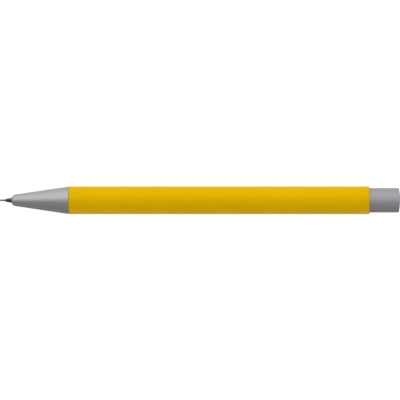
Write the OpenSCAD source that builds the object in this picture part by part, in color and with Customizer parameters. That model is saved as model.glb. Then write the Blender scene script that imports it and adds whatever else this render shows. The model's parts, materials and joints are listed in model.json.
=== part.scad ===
// A push-button mechanical pencil with a painted tube barrel, a turned nose and a push button.
// The pencil lies along X: the writing tip points to -X and the button to +X.
// The origin is on the axis, halfway along the barrel. All sizes are in millimetres.
// Places along the axis are counted from the barrel's front rim, positive towards the button.

/* [Lead] */
// Diameter of the lead
lead_d = 0.56; // [0.35:0.01:0.9]
// Length of one whole lead
lead_l = 60; // [45:1:75]
// Length of lead that stands out of the metal tip
lead_shown = 1.8; // [0.5:0.1:4]

/* [Barrel] */
// Outside diameter of the barrel
barrel_d = 9.5; // [7.9:0.1:14]
// Length of the barrel
barrel_l = 102.6; // [85:0.1:140]
// Thickness of the barrel's wall
barrel_wall = 0.5; // [0.4:0.05:0.8]
// Rounding of the barrel's front outside edge
barrel_front_round = 0.3; // [0.1:0.05:0.35]
// Rounding of the barrel's back outside edge
barrel_back_round = 0.4; // [0.1:0.05:0.4]

/* [Nose] */
// Length of the nose cone that shows in front of the barrel
nose_l = 19.4; // [16:0.1:25]
// Diameter of the nose just behind its front chamfer
nose_front_d = 3.87; // [3.7:0.01:5]
// Diameter of the nose's small front face
nose_face_d = 2.5; // [2.2:0.05:3.5]
// Length of the nose's front chamfer
nose_chamfer_l = 0.8; // [0.4:0.05:1.5]
// How far the nose's back edge lies below the barrel's surface
nose_inset = 0.06; // [0.02:0.01:0.2]
// Length of the threaded spigot that goes into the barrel
spigot_l = 6.45; // [5:0.05:8]

/* [Metal tip] */
// Length of the metal tip that shows in front of the nose
tip_l = 2.2; // [1.5:0.1:4]
// Diameter of the metal tip at its front
tip_front_d = 1.0; // [0.9:0.05:1.4]
// Diameter of the metal tip where it enters the nose
tip_back_d = 1.9; // [1.6:0.05:2.1]

/* [Button] */
// Length of the button that shows behind the barrel
button_shown = 10.45; // [8.7:0.05:14]
// Length of the button's skirt inside the barrel
button_skirt = 10; // [8:0.5:14]
// Rounding of the button's end
button_round = 0.6; // [0.3:0.05:0.8]
// Diameter of the flat in the middle of the button's end
button_flat_d = 3.8; // [2:0.1:5]
// How far the button travels when pressed
press_travel = 3; // [2:0.1:3.2]

/* [Eraser] */
// Diameter of the eraser
eraser_d = 3.6; // [3:0.1:3.7]
// Length of the eraser
eraser_l = 6; // [4:0.5:6.5]

/* [Lead reservoir] */
// Outside diameter of the lead reservoir tube
tube_d = 4.2; // [4.1:0.05:4.8]
// Thickness of the lead reservoir tube's wall
tube_wall = 0.5; // [0.4:0.05:0.6]

/* [Chuck] */
// Diameter of the collet's stem
stem_d = 1.8; // [1.6:0.05:2]
// Largest diameter of the collet jaws' head
jaw_head_d = 2.9; // [2.5:0.05:3.1]
// Length of the collet jaws
jaw_l = 8.97; // [7:0.01:10]
// How far each jaw opens, in degrees
jaw_open_angle = 1.5; // [0.5:0.1:1.8]
// Width of the slits between the jaws
jaw_slit = 0.25; // [0.15:0.01:0.35]
// Length of the clutch ring
clutch_ring_l = 2.6; // [2:0.1:3]
// Outside diameter of the clutch ring
clutch_ring_d = 3.9; // [3.7:0.05:4]
// How far the clutch ring travels before it stops
clutch_ring_travel = 0.9; // [0.5:0.05:1.2]

/* [Return spring] */
// Outside diameter of the return spring
spring_d = 3.5; // [3.3:0.05:3.7]
// Diameter of the return spring's wire
spring_wire_d = 0.35; // [0.25:0.01:0.45]
// Length of the return spring as fitted, with the button at rest
spring_l = 11; // [9:0.1:12]
// Number of working turns in the return spring
spring_turns = 8; // [6:1:10]

/* [Hidden] */

// Smoothness of the round pieces
turned_facets = 96;
round_facets = 48;

// Clearances
running_gap = 0.02;      // around a piece that turns or slides in its own hole
slide_gap = 0.085;       // around the button in the barrel
thread_gap = 0.05;       // around the nose's spigot in the bush
free_gap = 0.15;         // between pieces that pass each other without touching
face_gap = 0.05;         // between end faces of pieces that move apart
seat_gap = 0.1;          // around and behind the pieces in the nose's front seat
stem_gap = 0.35;         // around the collet's stem in the spring housing
lead_room = 0.2;         // around the lead where nothing grips it

// Radii of the barrel and of what is pressed into it
barrel_r = barrel_d / 2;
barrel_bore_r = barrel_r - barrel_wall;
bush_wall = 0.65;
thread_bore_r = barrel_bore_r - bush_wall;

// The reservoir tube
tube_r = tube_d / 2;
tube_bore_r = tube_r - tube_wall;
tube_guide_gap = 0.1;

// The return spring and the housing around it
housing_wall = 0.5;
housing_flange_l = 1;
housing_back_flange_l = 0.9;
spring_room = 0.25;
connector_gap = 0.1;
housing_bore_r = spring_d / 2 + spring_room;
housing_r = housing_bore_r + housing_wall;
connector_r = housing_bore_r - connector_gap;

// Places along the axis in the nose, counted back from its front face
nose_front = -nose_l;
tip_front = nose_front - tip_l;
lead_front = tip_front - lead_shown;
tip_shank_l = 1.8;
tip_flange_l = 0.6;
retainer_l = 1.2;
tip_flange_front = nose_front + tip_shank_l;
retainer_front = tip_flange_front + tip_flange_l;
retainer_back = retainer_front + retainer_l;

// The collet jaws, which stop short of the retainer when the button is pressed
jaw_front_room = 0.8;
jaw_front = retainer_back + jaw_front_room + press_travel;
jaw_back = jaw_front + jaw_l;
jaw_root_gap = 0.03;
jaw_head_r = jaw_head_d / 2;
jaw_nose_l = 0.4;
jaw_nose_drop = 0.25;
jaw_cone_l = 2;
jaw_cone_drop = 0.35;
jaw_neck_r = jaw_head_r - jaw_cone_drop;
jaw_cone_front = jaw_front + jaw_nose_l;
jaw_cone_back = jaw_cone_front + jaw_cone_l;
jaw_open_reach = jaw_l * sin(jaw_open_angle);
stem_r = stem_d / 2;
stem_bore_r = lead_d / 2 + lead_room;
grip_bore_r = lead_d / 2 + running_gap;

// The clutch ring, which slides forward until it meets a step in the nose
clutch_cone_gap = 0.03;
clutch_ring_setback = 0.85;
clutch_ring_front = jaw_cone_front + clutch_ring_setback;
clutch_ring_back = clutch_ring_front + clutch_ring_l;
clutch_ring_r = clutch_ring_d / 2;

// The chambers inside the nose, each wider than the one in front of it
seat_r = 1.5;
seat_back = retainer_back + seat_gap;
jaw_chamber_gap = 0.06;
jaw_chamber_r = jaw_head_r + jaw_open_reach + jaw_chamber_gap;
jaw_chamber_back = clutch_ring_front - clutch_ring_travel - face_gap;
ring_chamber_r = clutch_ring_r + free_gap;
housing_front = clutch_ring_back + face_gap;
housing_front_room = 0.8;
ring_chamber_back = housing_front - housing_front_room;
housing_chamber_r = housing_r + free_gap;
nose_back_r = barrel_r - nose_inset;
nose_shoulder = -face_gap;
spigot_r = thread_bore_r - thread_gap;

// The spring housing's back flange sits in the front bush, behind the nose's spigot
bush_front = 0.6;
bush_collar_l = 4.6;
housing_flange_front = spigot_l + face_gap;
housing_flange_back = housing_flange_front + housing_back_flange_l;
bush_back = housing_flange_back + bush_collar_l;
spring_front = housing_front + housing_flange_l;
spring_back = spring_front + spring_l;

// The collet stem is pressed into the connector, and the connector into the reservoir tube
stem_grip_l = 2.5;
connector_front = spring_back;
stem_back = connector_front + stem_grip_l;
tube_front_room = 0.6;
tube_front = housing_flange_back + press_travel + tube_front_room;
connector_plug_l = 2;
connector_back = tube_front + connector_plug_l;

// The button, and what it covers, counted forward from the button's end
button_r = barrel_bore_r - slide_gap;
button_end = barrel_l + button_shown;
button_front = barrel_l - button_skirt;
button_wall = 0.8;
button_end_wall = 1.25;
button_dome_h = 0.3;
eraser_end_gap = 0.8;
eraser_r = eraser_d / 2;
eraser_back = button_end - button_end_wall - eraser_end_gap;
eraser_front = eraser_back - eraser_l;
ferrule_base_l = 1;
ferrule_wall = 0.25;
ferrule_r = eraser_r + ferrule_wall;
ferrule_front = eraser_front - ferrule_base_l;
ferrule_cup_l = 4;
ferrule_plug_l = 3.5;
tube_back = ferrule_front;
boss_bore_r = tube_r + face_gap;
boss_wall = 0.75;
boss_setback = 2.4;
pocket_setback = 0.5;
pocket_rise = 0.35;
pocket_front = tube_back + pocket_setback;
pocket_back = eraser_back + eraser_end_gap;
pocket_r = boss_bore_r + pocket_rise;

// The guide that centres the reservoir tube in the barrel
guide_l = 6;
guide_from_back = 26.6;

// The spare leads lie side by side on the bottom of the reservoir tube
spare_front_room = 0.2;
spare_r = tube_bore_r - lead_d / 2 - running_gap;
spare_step_angle = 2 * asin((lead_d / 2 + running_gap) / spare_r);

// Turns an outline of [radius, place along the axis] around the pencil's axis
module turned() {
    translate([-barrel_l / 2, 0, 0])
        rotate([0, 90, 0])
            rotate_extrude($fn = turned_facets)
                children();
}

// Half section of a plain ring
module ring_section(inner_r, outer_r, from, to) {
    translate([inner_r, from])
        square([outer_r - inner_r, to - from]);
}

// Half section of a ring whose outside edges are rounded
module rounded_section(inner_r, outer_r, from, to, front_round, back_round) {
    intersection() {
        ring_section(inner_r, outer_r, from, to);
        union() {
            ring_section(0, outer_r - max(front_round, back_round), from, to);
            ring_section(0, outer_r, from + front_round, to - back_round);
            ring_section(0, outer_r - front_round, from, from + front_round);
            ring_section(0, outer_r - back_round, to - back_round, to);
            translate([outer_r - front_round, from + front_round])
                circle(r = front_round, $fn = round_facets);
            translate([outer_r - back_round, to - back_round])
                circle(r = back_round, $fn = round_facets);
        }
    }
}

// A round lead that lies along the axis
module lead(from) {
    translate([from - barrel_l / 2, 0, 0])
        rotate([0, 90, 0])
            cylinder(d = lead_d, h = lead_l, $fn = round_facets);
}

// The painted barrel tube
module barrel() {
    color("#e2b402")
        turned()
            rounded_section(barrel_bore_r, barrel_r, 0, barrel_l, barrel_front_round, barrel_back_round);
}

// The bush pressed into the barrel's front, with the nose's thread and a guide for the tube
module front_bush() {
    color("#3b3d42")
        turned() {
            ring_section(thread_bore_r, barrel_bore_r, bush_front, bush_back);
            ring_section(tube_r + tube_guide_gap, barrel_bore_r, housing_flange_back, bush_back);
        }
}

// The collar that centres the reservoir tube near the barrel's back
module guide_bush() {
    guide_front = barrel_l - guide_from_back;
    color("#3b3d42")
        turned()
            ring_section(tube_r + tube_guide_gap, barrel_bore_r, guide_front, guide_front + guide_l);
}

// The sleeve that holds the spring: a front flange for the spring and a back flange in the bush
module spring_housing() {
    color("#c9a24b")
        turned() {
            ring_section(stem_r + stem_gap, housing_r, housing_front, spring_front);
            ring_section(housing_bore_r, housing_r, housing_front, housing_flange_back);
            ring_section(housing_bore_r, thread_bore_r, housing_flange_front, housing_flange_back);
        }
}

// How far along its axis the spring's wire is after a number of turns, with one closed turn at each end
closed_turn_gap = 0.03;
closed_pitch = spring_wire_d + closed_turn_gap;
open_pitch = (spring_l - spring_wire_d - 2 * closed_pitch) / spring_turns;
function wire_place(turns) =
    turns < 1 ? turns * closed_pitch
    : turns < spring_turns + 1 ? closed_pitch + (turns - 1) * open_pitch
    : closed_pitch + spring_turns * open_pitch + (turns - spring_turns - 1) * closed_pitch;

// The coil spring that pushes the reservoir tube and the button back
module return_spring() {
    steps_per_turn = 20;
    sides = 8;
    wire_r = spring_wire_d / 2;
    coil_r = spring_d / 2 - wire_r;
    rings = (spring_turns + 2) * steps_per_turn;
    points = [
        for (ring = [0 : rings])
            let (
                turn_angle = 360 * ring / steps_per_turn,
                place = spring_front + wire_r + wire_place(ring / steps_per_turn)
            )
            for (side = [0 : sides - 1])
                let (
                    side_angle = 360 * side / sides,
                    r = coil_r + wire_r * cos(side_angle)
                )
                [
                    place + wire_r * sin(side_angle) - barrel_l / 2,
                    r * cos(turn_angle),
                    r * sin(turn_angle)
                ]
    ];
    skin = [
        for (ring = [0 : rings - 1])
            for (side = [0 : sides - 1])
                let (
                    a = ring * sides + side,
                    b = ring * sides + (side + 1) % sides
                )
                each [[a, b, b + sides], [a, b + sides, a + sides]]
    ];
    front_cap = [[for (side = [sides - 1 : -1 : 0]) side]];
    back_cap = [[for (side = [0 : sides - 1]) rings * sides + side]];
    color("#9a9ca0")
        polyhedron(points = points, faces = concat(skin, front_cap, back_cap), convexity = 10);
}

// The turned nose cone, with its threaded spigot and the chambers for tip, jaws, ring and housing
module nose_cone() {
    color("#b4b3b7")
        turned()
            difference() {
                union() {
                    polygon([
                        [0, nose_front],
                        [nose_face_d / 2, nose_front],
                        [nose_front_d / 2, nose_front + nose_chamfer_l],
                        [nose_back_r, nose_shoulder],
                        [0, nose_shoulder]
                    ]);
                    ring_section(0, spigot_r, nose_shoulder, spigot_l);
                }
                ring_section(0, tip_back_d / 2 + running_gap, nose_front, tip_flange_front);
                ring_section(0, seat_r, tip_flange_front, seat_back);
                ring_section(0, jaw_chamber_r, seat_back, jaw_chamber_back);
                ring_section(0, ring_chamber_r, jaw_chamber_back, ring_chamber_back);
                ring_section(0, housing_chamber_r, ring_chamber_back, spigot_l);
            }
}

// The metal tip that guides the lead: a cone in front, a shank in the nose and a flange that holds it
module metal_tip() {
    color("#c8c9cc")
        turned()
            difference() {
                union() {
                    polygon([
                        [0, tip_front],
                        [tip_front_d / 2, tip_front],
                        [tip_back_d / 2, nose_front],
                        [tip_back_d / 2, retainer_front],
                        [0, retainer_front]
                    ]);
                    ring_section(0, seat_r - seat_gap, tip_flange_front + running_gap, retainer_front);
                }
                ring_section(0, grip_bore_r, tip_front, retainer_front);
            }
}

// The rubber ring that holds the lead while the jaws are open
module lead_retainer() {
    color("#26272a")
        turned()
            ring_section(grip_bore_r, seat_r - seat_gap, retainer_front, retainer_back);
}

// The ring whose cone closes the jaws on the lead
module clutch_ring() {
    neck_bore_r = jaw_neck_r + clutch_cone_gap;
    cone_rise = (jaw_head_r - jaw_neck_r) / jaw_cone_l;
    front_bore_r = neck_bore_r + cone_rise * (jaw_cone_back - clutch_ring_front);
    color("#c9a24b")
        turned()
            polygon([
                [front_bore_r, clutch_ring_front],
                [clutch_ring_r, clutch_ring_front],
                [clutch_ring_r, clutch_ring_back],
                [neck_bore_r, clutch_ring_back],
                [neck_bore_r, jaw_cone_back]
            ]);
}

// One of the collet's three jaws; turn is its place around the axis
module collet_jaw(turn) {
    apex = jaw_slit / 2 / sin(60);
    reach = 3 * jaw_head_r;
    relief_setback = 0.4;
    relief_front = jaw_cone_back - relief_setback;
    color("#d0aa55")
        rotate([turn, 0, 0])
            intersection() {
                turned()
                    difference() {
                        union() {
                            polygon([
                                [0, jaw_front],
                                [jaw_head_r - jaw_nose_drop, jaw_front],
                                [jaw_head_r, jaw_cone_front],
                                [jaw_neck_r, jaw_cone_back],
                                [0, jaw_cone_back]
                            ]);
                            ring_section(0, stem_r, jaw_cone_back, jaw_back);
                        }
                        ring_section(0, grip_bore_r, jaw_front, relief_front);
                        ring_section(0, stem_bore_r, relief_front, jaw_back);
                    }
                translate([jaw_front - barrel_l / 2, 0, 0])
                    rotate([0, 90, 0])
                        linear_extrude(height = jaw_l)
                            polygon([
                                [apex, 0],
                                [apex + reach * cos(60), reach * sin(60)],
                                [apex + reach * cos(60), -reach * sin(60)]
                            ]);
            }
}

// The collet's stem, which joins the jaws to the connector
module collet_stem() {
    color("#d0aa55")
        turned()
            ring_section(stem_bore_r, stem_r, jaw_back + jaw_root_gap, stem_back);
}

// The connector between the collet and the reservoir tube, with a funnel that leads the leads in
module collet_connector() {
    funnel_lip = 0.35;
    funnel_back_r = tube_bore_r - funnel_lip;
    color("#e8e8e4")
        turned()
            difference() {
                union() {
                    ring_section(0, connector_r, connector_front, tube_front);
                    ring_section(0, tube_bore_r, tube_front, connector_back);
                }
                ring_section(0, stem_r, connector_front, stem_back);
                polygon([
                    [0, stem_back],
                    [stem_bore_r, stem_back],
                    [funnel_back_r, connector_back],
                    [0, connector_back]
                ]);
            }
}

// The tube that holds the spare leads and carries the push from the button
module reservoir_tube() {
    color("#e8e8e4")
        turned()
            ring_section(tube_bore_r, tube_r, tube_front, tube_back);
}

// The lead in use, from the tip back through the chuck
module writing_lead() {
    color("#4a4b50")
        lead(lead_front);
}

// A spare lead; side counts places around the tube's bottom, from -1 to 1
module spare_lead(side) {
    turn = side * spare_step_angle;
    color("#4a4b50")
        translate([0, spare_r * sin(turn), -spare_r * cos(turn)])
            lead(connector_back + spare_front_room);
}

// The metal cup that holds the eraser and plugs the reservoir tube
module eraser_ferrule() {
    color("#c8c9cc")
        turned() {
            ring_section(0, tube_bore_r - running_gap, tube_back - ferrule_plug_l, tube_back);
            ring_section(0, ferrule_r, tube_back, eraser_front);
            ring_section(eraser_r, ferrule_r, eraser_front, tube_back + ferrule_cup_l);
        }
}

// The eraser under the button
module eraser() {
    front_round = 0.1;
    back_round = 0.4;
    color("#f2f0ea")
        turned()
            rounded_section(0, eraser_r, eraser_front, eraser_back, front_round, back_round);
}

// The push button: a shell that slides in the barrel, a boss on the tube and a pocket for the eraser
module push_button() {
    rim_end = button_end - button_dome_h;
    front_round = 0.1;
    color("#a3a2a7")
        turned() {
            difference() {
                union() {
                    rounded_section(0, button_r, button_front, rim_end, front_round, button_round);
                    polygon([
                        [0, pocket_back],
                        [button_r - button_round, pocket_back],
                        [button_r - button_round, rim_end],
                        [button_flat_d / 2, button_end],
                        [0, button_end]
                    ]);
                }
                ring_section(0, pocket_r, pocket_front, pocket_back);
                ring_section(0, button_r - button_wall, button_front, pocket_front);
            }
            ring_section(boss_bore_r, boss_bore_r + boss_wall, button_front + boss_setback, pocket_front);
        }
}

barrel();
front_bush();
guide_bush();
spring_housing();
return_spring();
nose_cone();
metal_tip();
lead_retainer();
clutch_ring();
collet_jaw(0);  // collet_jaw_1
collet_jaw(120);  // collet_jaw_2
collet_jaw(240);  // collet_jaw_3
collet_stem();
collet_connector();
reservoir_tube();
writing_lead();
spare_lead(-1);  // spare_lead_1
spare_lead(0);  // spare_lead_2
spare_lead(1);  // spare_lead_3
eraser_ferrule();
eraser();
push_button();
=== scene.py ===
"""The looks of a push-button mechanical pencil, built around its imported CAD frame.

The pencil lies along X with its writing tip towards -X. Sections follow the pencil as it is put
together. Sizes inside a section are in millimetres, and meshes are in metres.
"""
import json
import math

import bmesh
import bpy
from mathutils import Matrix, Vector


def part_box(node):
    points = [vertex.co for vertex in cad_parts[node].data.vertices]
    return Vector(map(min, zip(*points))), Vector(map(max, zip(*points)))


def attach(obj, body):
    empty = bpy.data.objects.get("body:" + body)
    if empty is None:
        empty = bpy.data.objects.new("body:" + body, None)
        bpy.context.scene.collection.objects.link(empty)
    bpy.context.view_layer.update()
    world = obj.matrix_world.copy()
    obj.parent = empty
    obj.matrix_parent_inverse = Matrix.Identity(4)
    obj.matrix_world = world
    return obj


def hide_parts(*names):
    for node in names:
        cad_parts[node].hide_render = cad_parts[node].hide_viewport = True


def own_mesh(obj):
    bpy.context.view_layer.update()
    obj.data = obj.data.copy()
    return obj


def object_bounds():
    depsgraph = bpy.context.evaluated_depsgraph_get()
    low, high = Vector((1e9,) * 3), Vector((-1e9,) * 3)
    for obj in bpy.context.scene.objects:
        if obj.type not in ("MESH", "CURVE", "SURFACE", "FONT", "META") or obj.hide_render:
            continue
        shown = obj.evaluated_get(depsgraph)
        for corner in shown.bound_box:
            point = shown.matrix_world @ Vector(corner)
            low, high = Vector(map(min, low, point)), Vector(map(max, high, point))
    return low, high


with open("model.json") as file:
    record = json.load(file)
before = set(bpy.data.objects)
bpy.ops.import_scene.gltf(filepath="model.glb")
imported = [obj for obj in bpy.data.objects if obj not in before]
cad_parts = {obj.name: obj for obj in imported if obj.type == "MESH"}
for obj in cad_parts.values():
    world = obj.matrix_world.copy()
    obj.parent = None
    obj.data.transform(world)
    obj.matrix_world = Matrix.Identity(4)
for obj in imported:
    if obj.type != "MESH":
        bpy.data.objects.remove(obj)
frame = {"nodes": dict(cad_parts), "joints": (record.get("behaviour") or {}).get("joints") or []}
cad_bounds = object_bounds()

# ---------------------------------------------------------------------------------------------
# Barrel: a thin drawn metal tube in satin yellow enamel, plain from end to end. Its rims are
# rounded over, and painted shade darkens the enamel a little there, where the nose and button meet it.
# Everything else is pressed or screwed into it, or slides in it.
# ---------------------------------------------------------------------------------------------
MM = 0.001


def extent(node):
    """Front end, back end and radius of a round CAD node, in millimetres."""
    low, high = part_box(node)
    return low.x / MM, high.x / MM, max(high.y, -low.y, high.z, -low.z) / MM


def rounded(corners, closed):
    """An outline whose corners (place, radius, rounding) are rounded by arcs."""
    degrees_to_a_step = 11
    longest_reach = 0.49
    points = []
    count = len(corners)
    for i, (place, radius, rounding) in enumerate(corners):
        corner = Vector((place, radius))
        at_an_end = not closed and i in (0, count - 1)
        if rounding == 0 or at_an_end:
            points.append(corner)
            continue
        before = Vector(corners[i - 1][:2]) - corner
        after = Vector(corners[(i + 1) % count][:2]) - corner
        half_angle = before.angle(after) / 2
        room = longest_reach * min(before.length, after.length)
        reach = min(rounding / math.tan(half_angle), room)
        start = corner + before.normalized() * reach
        end = corner + after.normalized() * reach
        arc_radius = reach * math.tan(half_angle)
        middle = (before.normalized() + after.normalized()).normalized()
        centre = corner + middle * arc_radius / math.sin(half_angle)
        turn = (start - centre).angle_signed(end - centre)
        steps = max(2, round(math.degrees(abs(turn)) / degrees_to_a_step))
        spoke = start - centre
        for step in range(steps + 1):
            angle = -turn * step / steps
            points.append(centre + Vector((
                spoke.x * math.cos(angle) - spoke.y * math.sin(angle),
                spoke.x * math.sin(angle) + spoke.y * math.cos(angle),
            )))
    return points


def turned(name, corners, steps=160, centre=(0, 0)):
    """A piece turned about X from corners of (place, radius, rounding).

    It is solid where both ends of the outline lie on the axis, and otherwise a ring or a tube.
    """
    solid = corners[0][1] == 0 and corners[-1][1] == 0
    outline = rounded(corners, closed=not solid)
    shape = bmesh.new()
    rings = []
    for place, radius in outline:
        around = 1 if radius < 1e-6 else steps
        rings.append([
            shape.verts.new((
                place * MM,
                (centre[0] + radius * math.sin(math.tau * k / steps)) * MM,
                (centre[1] + radius * math.cos(math.tau * k / steps)) * MM,
            ))
            for k in range(around)
        ])
    pairs = list(zip(rings, rings[1:]))
    if not solid:
        pairs.append((rings[-1], rings[0]))
    for ring, following in pairs:
        for k in range(steps):
            a, b = ring[k % len(ring)], ring[(k + 1) % len(ring)]
            c, d = following[(k + 1) % len(following)], following[k % len(following)]
            corners_of_face = list(dict.fromkeys((a, b, c, d)))
            if len(corners_of_face) > 2:
                shape.faces.new(corners_of_face)
    bmesh.ops.recalc_face_normals(shape, faces=shape.faces)
    mesh = bpy.data.meshes.new(name)
    shape.to_mesh(mesh)
    shape.free()
    mesh.shade_smooth()
    mesh.set_sharp_from_angle(angle=math.radians(35))
    piece = bpy.data.objects.new(name, mesh)
    bpy.context.scene.collection.objects.link(piece)
    return piece


class Value:
    """One output of a node. Python's operators join it to others, or to numbers, with Math nodes."""

    def __init__(self, nodes, socket):
        self.nodes = nodes
        self.socket = socket

    def __add__(self, other):
        return self.nodes.maths("ADD", self, other)

    def __radd__(self, other):
        return self.nodes.maths("ADD", other, self)

    def __sub__(self, other):
        return self.nodes.maths("SUBTRACT", self, other)

    def __rsub__(self, other):
        return self.nodes.maths("SUBTRACT", other, self)

    def __mul__(self, other):
        return self.nodes.maths("MULTIPLY", self, other)

    def __rmul__(self, other):
        return self.nodes.maths("MULTIPLY", other, self)

    def __pow__(self, other):
        return self.nodes.maths("POWER", self, other)

    def __rpow__(self, other):
        return self.nodes.maths("POWER", other, self)


class Nodes:
    """A node tree, and the one way in which nodes are added to it."""

    def __init__(self, tree):
        self.tree = tree

    def feed(self, node, values):
        """Sets or links a node's inputs, found by identifier, name or number."""
        by_identifier = {socket.identifier: socket for socket in node.inputs}
        for key, value in values.items():
            socket = by_identifier[key] if key in by_identifier else node.inputs[key]
            if isinstance(value, Value):
                self.tree.links.new(value.socket, socket)
            else:
                socket.default_value = value

    def node(self, kind, settings=None, values=None, out=0):
        """Adds a node and gives one of its outputs, found by identifier, name or number."""
        node = self.tree.nodes.new(kind)
        for key, value in (settings or {}).items():
            setattr(node, key, value)
        self.feed(node, values or {})
        by_identifier = {socket.identifier: socket for socket in node.outputs}
        return Value(self, by_identifier[out] if out in by_identifier else node.outputs[out])

    def maths(self, operation, *numbers):
        """A number worked out by a Math node, for what the operators don't do."""
        return self.node("ShaderNodeMath", {"operation": operation}, dict(enumerate(numbers)))

    def step(self, value, low, high):
        """0 below a low value, 1 above a high one, and smooth between them."""
        values = {"Value": value, "From Min": low, "From Max": high}
        return self.node("ShaderNodeMapRange", {"interpolation_type": "SMOOTHSTEP"}, values)


class Finish(Nodes):
    """A material made of a Principled shader and the nodes that feed it."""

    def __init__(self, name, **constants):
        self.material = bpy.data.materials.new(name)
        self.material.use_nodes = True
        super().__init__(self.material.node_tree)
        self.shader = self.tree.nodes["Principled BSDF"]
        self.shade(**constants)

    def shade(self, **values):
        """Feeds the shader's inputs, whose names are written with underscores."""
        self.feed(self.shader, {key.replace("_", " "): value for key, value in values.items()})

    def place(self, scale=(1, 1, 1)):
        """Object coordinates, stretched by a scale along each axis."""
        coordinates = self.node("ShaderNodeTexCoord", out="Object")
        return self.node("ShaderNodeMapping", values={"Vector": coordinates, "Scale": scale})

    def noise(self, scale, detail=3, roughness=0.5, stretch=(1, 1, 1)):
        """Noise from 0 to 1, with a number of features to the metre."""
        values = {"Vector": self.place(stretch), "Scale": scale, "Detail": detail, "Roughness": roughness}
        return self.node("ShaderNodeTexNoise", values=values)

    def blend(self, share, first, second):
        """A colour between two colours."""
        values = {"Factor_Float": share, "A_Color": first, "B_Color": second}
        return self.node("ShaderNodeMix", {"data_type": "RGBA"}, values, out="Result_Color")

    def bump(self, height, depth):
        """A Normal from a height of 0 to 1 that stands for a depth in metres."""
        return self.node("ShaderNodeBump", values={"Height": height, "Distance": depth})

    def wear(self, piece):
        """Puts the finish on a piece."""
        piece.data.materials.clear()
        piece.data.materials.append(self.material)


def fit_on(piece, body, slot, *nodes):
    """The piece rides on a body and stands for CAD nodes, which are hidden. The slot is not used."""
    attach(piece, body)
    if nodes:
        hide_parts(*nodes)


barrel_front, barrel_back, barrel_radius = extent("barrel")
barrel_wall = 0.5
barrel_bore = barrel_radius - barrel_wall
barrel = turned("barrel_tube", [
    (barrel_front, barrel_bore, 0.05),
    (barrel_front, barrel_radius, 0.3),
    (barrel_back, barrel_radius, 0.4),
    (barrel_back, barrel_bore, 0.05),
], steps=192)

enamel = Finish("yellow_enamel", Metallic=0.18, Specular_IOR_Level=0.12, Specular_Tint=(1.0, 0.95, 0.02, 1))
full_shade, no_shade = 0.1, 0.9
cloudiness = enamel.noise(scale=70, detail=4)
orange_peel = enamel.noise(scale=1400, detail=2)
fine_grain = enamel.noise(scale=9000, detail=2)
# handling marks in the roughness; the same noise also makes the painted rim shade patchy
handling_and_shade_noise = enamel.noise(scale=500, detail=5, roughness=0.65, stretch=(0.06, 1, 1))
along = enamel.node("ShaderNodeSeparateXYZ", values={"Vector": enamel.place()}, out="X")
distance_to_rim = barrel_back * MM - enamel.maths("ABSOLUTE", along)
# painted shade: a mask that darkens the enamel towards both rims, where the barrel meets the nose and the
# button
painted_rim_shade = 1 - enamel.step(distance_to_rim, full_shade * MM, no_shade * MM)
yellow = enamel.blend(cloudiness, (0.860, 0.525, 0.001, 1), (0.900, 0.555, 0.002, 1))
# the darker yellow here is painted shade at the rims, not wear
yellow = enamel.blend(painted_rim_shade * (0.10 + 0.35 * handling_and_shade_noise), yellow, (0.60, 0.34, 0.004, 1))
enamel.shade(
    Base_Color=yellow,
    Roughness=0.34 + 0.10 * handling_and_shade_noise + 0.05 * cloudiness,
    Normal=enamel.bump(orange_peel * 0.75 + fine_grain * 0.25, 0.000012),
)
enamel.wear(barrel)
fit_on(barrel, "barrel_body", "barrel_paint", "barrel")

# ---------------------------------------------------------------------------------------------
# Bushes: two rings of dark glass-filled plastic, pressed into the barrel's bore.
# The front one holds the nose's thread and the chuck, and the back one centres the long tube.
# ---------------------------------------------------------------------------------------------
bush_front, bush_back, bush_radius = extent("front_bush")
housing_front, housing_back, housing_flange_radius = extent("spring_housing")
tube_front, tube_back, tube_radius = extent("reservoir_tube")
guide_front, guide_back, guide_radius = extent("guide_bush")
guide_gap = 0.1
guide_bore = tube_radius + guide_gap
front_bush = turned("front_bush_moulding", [
    (bush_front, housing_flange_radius, 0.15),
    (bush_front, bush_radius, 0.1),
    (bush_back, bush_radius, 0.1),
    (bush_back, guide_bore, 0.1),
    (housing_back, guide_bore, 0.1),
    (housing_back, housing_flange_radius, 0.02),
])
guide_bush = turned("guide_bush_moulding", [
    (guide_front, guide_bore, 0.25),
    (guide_front, guide_radius, 0.1),
    (guide_back, guide_radius, 0.1),
    (guide_back, guide_bore, 0.25),
])

dark_plastic = Finish("dark_bush_plastic", Specular_IOR_Level=0.45)
moulding = dark_plastic.noise(scale=2600, detail=4)
fibres = dark_plastic.noise(scale=5000, detail=3, stretch=(0.15, 1, 1))
dark_plastic.shade(
    Base_Color=dark_plastic.blend(moulding, (0.032, 0.033, 0.038, 1), (0.052, 0.053, 0.060, 1)),
    Roughness=0.48 + 0.18 * moulding,
    Normal=dark_plastic.bump(moulding * 0.5 + fibres * 0.5, 0.00001),
)
for bush, node in ((front_bush, "front_bush"), (guide_bush, "guide_bush")):
    dark_plastic.wear(bush)
    fit_on(bush, "barrel_body", "bush_plastic", node)

# ---------------------------------------------------------------------------------------------
# Spring housing: a turned brass sleeve with a flange at each end, shut in the front bush.
# The front flange carries the return spring, and the back flange sits behind the nose's spigot.
# ---------------------------------------------------------------------------------------------
spring_front, spring_back, spring_radius = extent("return_spring")
stem_front, stem_back, stem_radius = extent("collet_stem")
spring_room = 0.25
housing_wall = 0.5
stem_gap = 0.35
back_flange_length = 0.9
housing_bore = spring_radius + spring_room
housing_radius = housing_bore + housing_wall
stem_hole = stem_radius + stem_gap
flange_front = housing_back - back_flange_length
spring_housing = turned("spring_housing_sleeve", [
    (housing_front, stem_hole, 0.08),
    (housing_front, housing_radius, 0.15),
    (flange_front, housing_radius, 0.05),
    (flange_front, housing_flange_radius, 0.1),
    (housing_back, housing_flange_radius, 0.1),
    (housing_back, housing_bore, 0.12),
    (spring_front, housing_bore, 0.05),
    (spring_front, stem_hole, 0.08),
])


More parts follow.
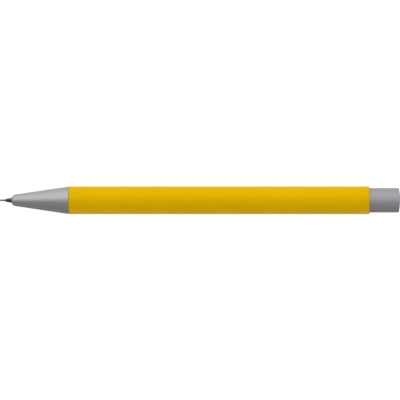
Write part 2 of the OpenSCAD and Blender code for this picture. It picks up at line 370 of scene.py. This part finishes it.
def turned_brass(name, roughness):
    """Brass as it leaves the lathe: fine rings round the axis, a little tarnish, bright edges."""
    brass = Finish(name, Metallic=1.0)
    rings = brass.noise(scale=420, detail=5, roughness=0.6, stretch=(40, 1, 1))
    tarnish = brass.noise(scale=650, detail=4)
    brass.shade(
        Base_Color=brass.blend(tarnish ** 1.6, (0.80, 0.57, 0.24, 1), (0.60, 0.39, 0.13, 1)),
        Roughness=roughness + 0.12 * rings + 0.10 * tarnish,
        Normal=brass.bump(rings, 0.000006),
    )
    return brass


chuck_brass = turned_brass("chuck_brass_turned", 0.20)
chuck_brass.wear(spring_housing)
fit_on(spring_housing, "barrel_body", "chuck_brass", "spring_housing")

# ---------------------------------------------------------------------------------------------
# Return spring: a coil of drawn steel wire between the housing's front flange and the connector.
# It has one closed turn at each end. The real spring shortens as the button is pressed; this mesh keeps its
# rest length.
# ---------------------------------------------------------------------------------------------


def coil_nodes():
    """A Geometry Nodes tree that winds a round wire along X, with closed turns at both ends."""
    tree = bpy.data.node_groups.new("coil_along_x", "GeometryNodeTree")
    inputs = {
        "Front": "NodeSocketFloat",
        "Coil Radius": "NodeSocketFloat",
        "Wire Radius": "NodeSocketFloat",
        "Open Turns": "NodeSocketFloat",
        "Open Pitch": "NodeSocketFloat",
        "Closed Turns": "NodeSocketFloat",
        "Closed Pitch": "NodeSocketFloat",
        "Steps": "NodeSocketInt",
        "Sides": "NodeSocketInt",
        "Material": "NodeSocketMaterial",
    }
    for name, kind in inputs.items():
        tree.interface.new_socket(name, in_out="INPUT", socket_type=kind)
    tree.interface.new_socket("Geometry", in_out="OUTPUT", socket_type="NodeSocketGeometry")
    coil = Nodes(tree)
    group_input = tree.nodes.new("NodeGroupInput")
    given = {name: Value(coil, group_input.outputs[name]) for name in inputs}

    line = coil.node("GeometryNodeCurvePrimitiveLine", values={"End": (1, 0, 0)})
    line = coil.node("GeometryNodeResampleCurve", values={"Curve": line, "Count": given["Steps"]})
    turns = given["Closed Turns"] * 2.0 + given["Open Turns"]
    turn = coil.node("GeometryNodeSplineParameter") * turns
    past_closed = coil.maths("MAXIMUM", turn - given["Closed Turns"], 0.0)
    opened = coil.maths("MINIMUM", past_closed, given["Open Turns"])
    closed = turn - opened
    place = opened * given["Open Pitch"] + closed * given["Closed Pitch"] + given["Front"]
    angle = turn * math.tau
    across = coil.maths("COSINE", angle) * given["Coil Radius"]
    up = coil.maths("SINE", angle) * given["Coil Radius"]
    position = coil.node("ShaderNodeCombineXYZ", values={"X": place, "Y": across, "Z": up})
    helix = coil.node("GeometryNodeSetPosition", values={"Geometry": line, "Position": position})
    wire = coil.node("GeometryNodeCurvePrimitiveCircle", values={
        "Resolution": given["Sides"],
        "Radius": given["Wire Radius"],
    })
    wound = coil.node("GeometryNodeCurveToMesh", values={
        "Curve": helix,
        "Profile Curve": wire,
        "Fill Caps": True,
    })
    wound = coil.node("GeometryNodeSetShadeSmooth", values={"Geometry": wound})
    wound = coil.node("GeometryNodeRealizeInstances", values={"Geometry": wound})
    wound = coil.node("GeometryNodeSetMaterial", values={
        "Geometry": wound,
        "Material": given["Material"],
    })
    coil.feed(tree.nodes.new("NodeGroupOutput"), {"Geometry": wound})
    return tree


coil_tree = coil_nodes()


def wind(name, finish, **sizes):
    """A plain mesh of a wound coil. Lengths are in metres."""
    carrier = bpy.data.objects.new(name + "_carrier", bpy.data.meshes.new(name + "_carrier"))
    bpy.context.scene.collection.objects.link(carrier)
    modifier = carrier.modifiers.new("coil", "NODES")
    modifier.node_group = coil_tree
    sockets = [item for item in coil_tree.interface.items_tree if item.in_out == "INPUT"]
    identifiers = {socket.name: socket.identifier for socket in sockets}
    modifier[identifiers["Material"]] = finish.material
    for key, value in sizes.items():
        modifier[identifiers[key.replace("_", " ")]] = value
    evaluated = carrier.evaluated_get(bpy.context.evaluated_depsgraph_get())
    mesh = bpy.data.meshes.new_from_object(evaluated)
    mesh.name = name
    bpy.data.objects.remove(carrier)
    shape = bmesh.new()
    shape.from_mesh(mesh)
    bmesh.ops.recalc_face_normals(shape, faces=shape.faces)
    shape.to_mesh(mesh)
    shape.free()
    piece = bpy.data.objects.new(name, mesh)
    bpy.context.scene.collection.objects.link(piece)
    return piece


spring_steel = Finish("spring_steel_wire", Metallic=1.0)
drawing_marks = spring_steel.noise(scale=5200, detail=4)
spring_steel.shade(
    Base_Color=spring_steel.blend(drawing_marks, (0.40, 0.40, 0.42, 1), (0.56, 0.56, 0.58, 1)),
    Roughness=0.22 + 0.16 * drawing_marks,
    Normal=spring_steel.bump(drawing_marks, 0.000003),
)
wire_radius = 0.175
open_turns = 8
closed_turn_gap = 0.03
closed_pitch = 2 * wire_radius + closed_turn_gap
wound_length = spring_back - spring_front - 2 * wire_radius
return_spring = wind(
    "return_spring_coil", spring_steel,
    Front=(spring_front + wire_radius) * MM,
    Coil_Radius=(spring_radius - wire_radius) * MM,
    Wire_Radius=wire_radius * MM,
    Open_Turns=float(open_turns),
    Open_Pitch=(wound_length - 2 * closed_pitch) / open_turns * MM,
    Closed_Turns=1.0,
    Closed_Pitch=closed_pitch * MM,
    Steps=560,
    Sides=16,
)
fit_on(return_spring, "barrel_body", "spring_steel", "return_spring")
button_press = next(joint for joint in frame["joints"] if joint["name"] == "button_press")
press_travel = button_press["range_m"][1] / MM
spring_length = spring_back - spring_front
(spring_length - press_travel) / spring_length
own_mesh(return_spring)

# ---------------------------------------------------------------------------------------------
# Chuck: a brass collet slit into three jaws, pulled back into the cone of a brass clutch ring.
# The jaws grip the lead, and the ring lets them open once it meets the step in the nose.
# ---------------------------------------------------------------------------------------------
clutch_front, clutch_back, clutch_radius = extent("clutch_ring")
lead_radius = extent("writing_lead")[2]
lead_room = 0.2
collet_bore = lead_radius + lead_room
clutch_neck_radius = 1.13
clutch_mouth_radius = 1.331
clutch_cone_length = 1.15
clutch_ring = turned("clutch_ring_turned", [
    (clutch_front, clutch_mouth_radius, 0.06),
    (clutch_front, clutch_radius, 0.15),
    (clutch_back, clutch_radius, 0.15),
    (clutch_back, clutch_neck_radius, 0.1),
    (clutch_front + clutch_cone_length, clutch_neck_radius, 0.02),
])
collet_stem = turned("collet_stem_turned", [
    (stem_front, collet_bore, 0.04),
    (stem_front, stem_radius, 0.05),
    (stem_back, stem_radius, 0.1),
    (stem_back, collet_bore, 0.04),
])
chuck_brass.wear(clutch_ring)
chuck_brass.wear(collet_stem)
fit_on(clutch_ring, "clutch", "chuck_brass", "clutch_ring")
fit_on(collet_stem, "pusher", "chuck_brass", "collet_stem")
for jaw in ("collet_jaw_1", "collet_jaw_2", "collet_jaw_3"):
    chuck_brass.wear(frame["nodes"][jaw])

# ---------------------------------------------------------------------------------------------
# Connector and reservoir tube: natural white plastic, extruded and moulded.
# The connector is plugged into the tube, and its funnel leads each new lead into the collet.
# ---------------------------------------------------------------------------------------------
connector_front, connector_back, connector_radius = extent("collet_connector")
tube_wall = 0.5
funnel_lip = 0.35
tube_bore = tube_radius - tube_wall
funnel_mouth = tube_bore - funnel_lip
collet_connector = turned("collet_connector_moulding", [
    (connector_front, stem_radius, 0.05),
    (connector_front, connector_radius, 0.12),
    (tube_front, connector_radius, 0.02),
    (tube_front, tube_bore, 0.02),
    (connector_back, tube_bore, 0.12),
    (connector_back, funnel_mouth, 0.08),
    (stem_back, collet_bore, 0.05),
    (stem_back, stem_radius, 0.02),
])
reservoir_tube = turned("reservoir_tube_extrusion", [
    (tube_front, tube_bore, 0.08),
    (tube_front, tube_radius, 0.12),
    (tube_back, tube_radius, 0.12),
    (tube_back, tube_bore, 0.08),
])

white_plastic = Finish(
    "natural_white_plastic", Specular_IOR_Level=0.5, Subsurface_Weight=0.25, Subsurface_Scale=0.0006,
)
draw_lines = white_plastic.noise(scale=900, detail=4, stretch=(0.04, 1, 1))
smudges = white_plastic.noise(scale=260, detail=4)
white_plastic.shade(
    Base_Color=white_plastic.blend(smudges, (0.74, 0.74, 0.71, 1), (0.66, 0.66, 0.64, 1)),
    Roughness=0.28 + 0.14 * smudges + 0.08 * draw_lines,
    Normal=white_plastic.bump(draw_lines, 0.000008),
)
for piece, node in ((collet_connector, "collet_connector"), (reservoir_tube, "reservoir_tube")):
    white_plastic.wear(piece)
    fit_on(piece, "pusher", "tube_plastic", node)

# ---------------------------------------------------------------------------------------------
# Leads: thin sticks of fired graphite and clay with a grey sheen, one in use and three to spare.
# The one in use runs from the tip back through the chuck; its writing end is worn to a soft edge.
# ---------------------------------------------------------------------------------------------
graphite = Finish("graphite_lead", Specular_IOR_Level=0.65, Metallic=0.25)
grain = graphite.noise(scale=11000, detail=5, roughness=0.7)
drawn = graphite.noise(scale=4200, detail=3, stretch=(0.05, 1, 1))
graphite.shade(
    Base_Color=graphite.blend(grain, (0.060, 0.060, 0.066, 1), (0.125, 0.125, 0.135, 1)),
    Roughness=0.30 + 0.22 * grain,
    Normal=graphite.bump(grain * 0.5 + drawn * 0.5, 0.000006),
)


def lead(name, node, body, front_round):
    """A lead in the place of its CAD node, with its front edge rounded."""
    low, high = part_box(node)
    centre = ((low.y + high.y) / 2 / MM, (low.z + high.z) / 2 / MM)
    stick = turned(name, [
        (low.x / MM, 0, 0),
        (low.x / MM, lead_radius, front_round),
        (high.x / MM, lead_radius, 0.03),
        (high.x / MM, 0, 0),
    ], steps=48, centre=centre)
    graphite.wear(stick)
    fit_on(stick, body, "lead_graphite", node)


lead("writing_lead_stick", "writing_lead", "lead", front_round=0.09)
for number in (1, 2, 3):
    lead(f"spare_lead_stick_{number}", f"spare_lead_{number}", "pusher", front_round=0.03)

# ---------------------------------------------------------------------------------------------
# Metal tip and retainer: a polished steel cone whose flange is held inside the nose.
# Behind it sits the soft ring that holds the lead while the jaws are open.
# ---------------------------------------------------------------------------------------------
tip_front, tip_back, tip_flange_radius = extent("metal_tip")
nose_front, nose_back, nose_radius = extent("nose_cone")
retainer_front, retainer_back, retainer_radius = extent("lead_retainer")
running_gap = 0.02
tip_bore = lead_radius + running_gap
tip_mouth_radius = 0.5
tip_shank_radius = 0.95
tip_flange_length = 0.58
tip_flange_front = tip_back - tip_flange_length
metal_tip = turned("metal_tip_turned", [
    (tip_front, tip_bore, 0.03),
    (tip_front, tip_mouth_radius, 0.07),
    (nose_front, tip_shank_radius, 0.04),
    (tip_flange_front, tip_shank_radius, 0.02),
    (tip_flange_front, tip_flange_radius, 0.06),
    (tip_back, tip_flange_radius, 0.06),
    (tip_back, tip_bore, 0.05),
], steps=128)
lead_retainer = turned("lead_retainer_ring", [
    (retainer_front, tip_bore, 0.08),
    (retainer_front, retainer_radius, 0.15),
    (retainer_back, retainer_radius, 0.15),
    (retainer_back, tip_bore, 0.08),
], steps=128)

polished = Finish("polished_tip_steel", Metallic=1.0)
polish_marks = polished.noise(scale=500, detail=5, stretch=(45, 1, 1))
# painted reflection: the steel's colour is a dark grey where it faces the view and a light grey towards its
# edges, as if dark surroundings showed in the middle and bright ones at the sides
painted_edge_reflection = polished.node("ShaderNodeLayerWeight", values={"Blend": 0.5}, out="Facing") ** 1.2
painted_dark_reflection = polished.blend(polish_marks, (0.07, 0.07, 0.072, 1), (0.12, 0.12, 0.122, 1))
polished.shade(
    Base_Color=polished.blend(painted_edge_reflection, painted_dark_reflection, (0.62, 0.62, 0.64, 1)),
    Roughness=0.13 + 0.10 * polish_marks,
    Normal=polished.bump(polish_marks, 0.000002),
)
polished.wear(metal_tip)
fit_on(metal_tip, "tip", "tip_metal", "metal_tip")

soft_black = Finish("retainer_black_rubber", Specular_IOR_Level=0.3)
bloom = soft_black.noise(scale=3000, detail=4)
soft_black.shade(
    Base_Color=soft_black.blend(bloom, (0.020, 0.020, 0.021, 1), (0.040, 0.040, 0.042, 1)),
    Roughness=0.62 + 0.20 * bloom,
    Normal=soft_black.bump(bloom, 0.000012),
)
soft_black.wear(lead_retainer)
fit_on(lead_retainer, "tip", "retainer_rubber", "lead_retainer")

# ---------------------------------------------------------------------------------------------
# Nose cone: turned from aluminium and finished satin silver-grey, with a small front chamfer.
# Its round-crested thread screws into the front bush, and it holds the tip and the chuck.
# ---------------------------------------------------------------------------------------------
fit_gap = 0.05
shoulder = barrel_front - fit_gap
nose_face_radius = 1.25
nose_chamfer_length = 0.8
nose_chamfer_radius = 1.935
spigot_radius = housing_flange_radius - fit_gap
thread_crest = 0.2
thread_sink = 0.12
thread_root_radius = spigot_radius - 2 * thread_crest + thread_sink
tip_hole = tip_shank_radius + running_gap
tip_seat_front = tip_flange_front - running_gap
seat_radius = 1.5
seat_gap = 0.1
seat_back = retainer_back + seat_gap
jaw_chamber_radius = 1.744
chamber_gap = 0.15
ring_chamber_radius = clutch_radius + chamber_gap
housing_chamber_radius = housing_radius + chamber_gap
clutch_run = 0.95
ring_step = clutch_front - clutch_run
housing_front_room = 0.8
housing_step = housing_front - housing_front_room
nose_cone = turned("nose_cone_turned", [
    (nose_front, tip_hole, 0.04),
    (nose_front, nose_face_radius, 0.12),
    (nose_front + nose_chamfer_length, nose_chamfer_radius, 0.2),
    (shoulder, nose_radius, 0.06),
    (shoulder, thread_root_radius, 0.05),
    (nose_back, thread_root_radius, 0.25),
    (nose_back, housing_chamber_radius, 0.08),
    (housing_step, housing_chamber_radius, 0.05),
    (housing_step, ring_chamber_radius, 0.05),
    (ring_step, ring_chamber_radius, 0.05),
    (ring_step, jaw_chamber_radius, 0.05),
    (seat_back, jaw_chamber_radius, 0.05),
    (seat_back, seat_radius, 0.05),
    (tip_seat_front, seat_radius, 0.05),
    (tip_seat_front, tip_hole, 0.02),
], steps=192)


def satin_metal(name, light, dark, metallic, roughness):
    """Aluminium blasted to a satin silver-grey after turning: faint rings under a fine grain."""
    metal = Finish(name, Metallic=metallic, Specular_IOR_Level=0.5)
    rings = metal.noise(scale=350, detail=4, stretch=(30, 1, 1))
    grain = metal.noise(scale=7000, detail=3)
    clouds = metal.noise(scale=220, detail=3)
    metal.shade(
        Base_Color=metal.blend(clouds * 0.5 + grain * 0.5, light, dark),
        Roughness=roughness + 0.06 * rings + 0.06 * grain,
        Normal=metal.bump(rings * 0.4 + grain * 0.6, 0.000005),
    )
    return metal


nose_satin = satin_metal(
    "nose_satin_silver", (0.60, 0.60, 0.62, 1), (0.53, 0.53, 0.55, 1), metallic=0.9, roughness=0.30,
)
nose_satin.wear(nose_cone)
fit_on(nose_cone, "nose", "nose_metal", "nose_cone")

thread_pitch = 1.0
thread_run_out = 0.7
thread_front = shoulder + thread_run_out
thread_turns = (nose_back - thread_front - 2 * thread_crest) / thread_pitch
nose_thread = wind(
    "nose_cone_thread", nose_satin,
    Front=(thread_front + thread_crest) * MM,
    Coil_Radius=(spigot_radius - thread_crest) * MM,
    Wire_Radius=thread_crest * MM,
    Open_Turns=thread_turns,
    Open_Pitch=thread_pitch * MM,
    Closed_Turns=0.0,
    Closed_Pitch=0.0,
    Steps=480,
    Sides=14,
)
fit_on(nose_thread, "nose", "nose_metal")

# ---------------------------------------------------------------------------------------------
# Eraser and ferrule: a white vinyl plug in a thin drawn cup, pushed into the tube's back end.
# The cup's rim is rolled over, and the button covers them both.
# ---------------------------------------------------------------------------------------------
ferrule_front, ferrule_back, ferrule_radius = extent("eraser_ferrule")
eraser_front, eraser_back, eraser_radius = extent("eraser")
plug_radius = tube_bore - running_gap
eraser_dome_height = 0.15
eraser_draft = 0.01
eraser_flat_share = 0.45
eraser_ferrule = turned("eraser_ferrule_cup", [
    (ferrule_front, 0, 0),
    (ferrule_front, plug_radius, 0.2),
    (tube_back, plug_radius, 0.02),
    (tube_back, ferrule_radius, 0.08),
    (ferrule_back, ferrule_radius, 0.12),
    (ferrule_back, eraser_radius, 0.1),
    (eraser_front, eraser_radius, 0.02),
    (eraser_front, 0, 0),
], steps=128)
eraser = turned("eraser_plug", [
    (eraser_front, 0, 0),
    (eraser_front, eraser_radius, 0.1),
    (eraser_back - eraser_dome_height, eraser_radius - eraser_draft, 0.45),
    (eraser_back, eraser_radius * eraser_flat_share, 0.8),
    (eraser_back, 0, 0),
], steps=128)

drawn_metal = Finish("ferrule_drawn_metal", Metallic=1.0)
draw_marks = drawn_metal.noise(scale=900, detail=4, stretch=(0.1, 1, 1))
drawn_metal.shade(
    Base_Color=drawn_metal.blend(draw_marks, (0.66, 0.66, 0.68, 1), (0.56, 0.56, 0.58, 1)),
    Roughness=0.20 + 0.15 * draw_marks,
    Normal=drawn_metal.bump(draw_marks, 0.000004),
)
drawn_metal.wear(eraser_ferrule)
fit_on(eraser_ferrule, "eraser_body", "ferrule_metal", "eraser_ferrule")

vinyl = Finish(
    "white_eraser_vinyl", Specular_IOR_Level=0.35, Subsurface_Weight=0.3, Subsurface_Scale=0.0008,
)
texture = vinyl.noise(scale=3200, detail=5, roughness=0.65)
specks = vinyl.step(vinyl.noise(scale=5200, detail=1), 0.68, 0.74)
vinyl.shade(
    Base_Color=vinyl.blend(specks * 0.5, (0.83, 0.82, 0.78, 1), (0.45, 0.44, 0.43, 1)),
    Roughness=0.60 + 0.20 * texture,
    Normal=vinyl.bump(texture, 0.00003),
)
vinyl.wear(eraser)
fit_on(eraser, "eraser_body", "eraser_rubber", "eraser")

# ---------------------------------------------------------------------------------------------
# Push button: a turned satin silver-grey cap whose skirt slides in the barrel's bore.
# Its inner boss pushes onto the reservoir tube, and its closed end is slightly domed.
# ---------------------------------------------------------------------------------------------
button_front, button_back, button_radius = extent("push_button")
boss_wall = 0.75
skirt_wall = 0.8
end_wall = 1.25
dome_height = 0.3
dome_flat_radius = 1.9
rim_shoulder_width = 0.75
rim_shoulder_rise = 0.04
boss_setback = 2.4
pocket_setback = 0.5
pocket_widening = 0.35
boss_bore = tube_radius + fit_gap
boss_radius = boss_bore + boss_wall
boss_front = button_front + boss_setback
skirt_bore = button_radius - skirt_wall
pocket_front = tube_back + pocket_setback
pocket_back = button_back - end_wall
pocket_radius = boss_bore + pocket_widening
rim_back = button_back - dome_height
push_button = turned("push_button_turned", [
    (pocket_back, 0, 0),
    (pocket_back, pocket_radius, 0.3),
    (pocket_front, pocket_radius, 0.05),
    (pocket_front, boss_bore, 0.05),
    (boss_front, boss_bore, 0.12),
    (boss_front, boss_radius, 0.1),
    (pocket_front, boss_radius, 0.05),
    (pocket_front, skirt_bore, 0.05),
    (button_front, skirt_bore, 0.08),
    (button_front, button_radius, 0.1),
    (rim_back, button_radius, 0.6),
    (rim_back + rim_shoulder_rise, button_radius - rim_shoulder_width, 0.2),
    (button_back, dome_flat_radius, 0.3),
    (button_back, 0, 0),
], steps=192)
button_satin = satin_metal(
    "button_satin_silver", (0.505, 0.50, 0.54, 1), (0.445, 0.44, 0.48, 1), metallic=0.8, roughness=0.50,
)
button_satin.wear(push_button)
fit_on(push_button, "cap", "button_metal", "push_button")

# ---------------------------------------------------------------------------------------------
# Studio: a plain pale floor, a very wide soft light on the far side that fades to a dim near
# side, and a small light beyond each end that draws a highlight along the barrel from a corner.
# The camera looks straight down through a long lens.
# ---------------------------------------------------------------------------------------------
low, high = cad_bounds
middle = (Vector(low) + Vector(high)) / 2

floor_half = 3.0
corner_signs = ((-1, -1), (1, -1), (1, 1), (-1, 1))
floor_corners = [(x * floor_half, y * floor_half, low[2]) for x, y in corner_signs]
floor_mesh = bpy.data.meshes.new("studio_floor")
floor_mesh.from_pydata(floor_corners, [], [(0, 1, 2, 3)])
floor = bpy.data.objects.new("studio_floor", floor_mesh)
bpy.context.scene.collection.objects.link(floor)
card = Finish("pale_card", Specular_IOR_Level=0.1, Emission_Strength=0.80, Roughness=0.9)
card_fibres = card.noise(scale=300, detail=3)
card.shade(
    Base_Color=card.blend(card_fibres, (0.46, 0.46, 0.46, 1), (0.50, 0.50, 0.50, 1)),
    Emission_Color=(0.965, 0.98, 1, 1),
)
card.wear(floor)
floor.visible_glossy = False

# the sky is dim on the near side and bright on the far side, where it is dimmer below the horizon
near_grey, far_grey, below_share = 0.25, 0.93, 0.58
dim_to, bright_from = -0.34, 0.54
low_to, high_from = -0.45, 0.65
world = bpy.data.worlds.new("studio_light")
world.use_nodes = True
sky = Nodes(world.node_tree)
direction = sky.node("ShaderNodeTexCoord", out="Generated")
sideways = sky.node("ShaderNodeSeparateXYZ", values={"Vector": direction}, out="Y")
upwards = sky.node("ShaderNodeSeparateXYZ", values={"Vector": direction}, out="Z")
height_share = below_share + (1 - below_share) * sky.step(upwards, low_to, high_from)
far_share = sky.step(sideways, dim_to, bright_from) * height_share
brightness = near_grey + (far_grey - near_grey) * far_share
sky.feed(world.node_tree.nodes["Background"], {"Color": brightness})
bpy.context.scene.world = world


def soft_light(name, place, size, watts, colour, glossy=True):
    """A rectangular soft light aimed at the middle of the pencil."""
    light = bpy.data.lights.new(name, "AREA")
    light.shape = "RECTANGLE"
    light.size, light.size_y = size
    light.energy = watts
    light.color = colour
    lamp = bpy.data.objects.new(name, light)
    lamp.location = place
    lamp.rotation_euler = (middle - Vector(place)).to_track_quat("-Z", "Y").to_euler()
    lamp.visible_glossy = glossy
    bpy.context.scene.collection.objects.link(lamp)


soft_light(
    "fill_light", (middle.x, -0.45, 0.75),
    size=(1.2, 0.6), watts=2.0, colour=(1, 0.83, 0.70), glossy=False,
)
for name, side in (("front_end_light", -1), ("back_end_light", 1)):
    place = (middle.x + side * 0.9, 0.15, 0.75)
    soft_light(name, place, size=(0.3, 0.3), watts=0.8, colour=(1, 1, 1))
bpy.context.scene.view_settings.view_transform = "Standard"

lens = bpy.data.cameras.new("camera")
lens.lens = 600
lens.sensor_width = 36
lens.clip_start = 0.01
camera = bpy.data.objects.new("camera", lens)
width_margin = 1.000375
view_width = (high[0] - low[0]) * width_margin
sideways_offset = 0.00009
camera.location = (middle.x, sideways_offset, view_width * lens.lens / lens.sensor_width)
bpy.context.scene.collection.objects.link(camera)
bpy.context.scene.camera = camera
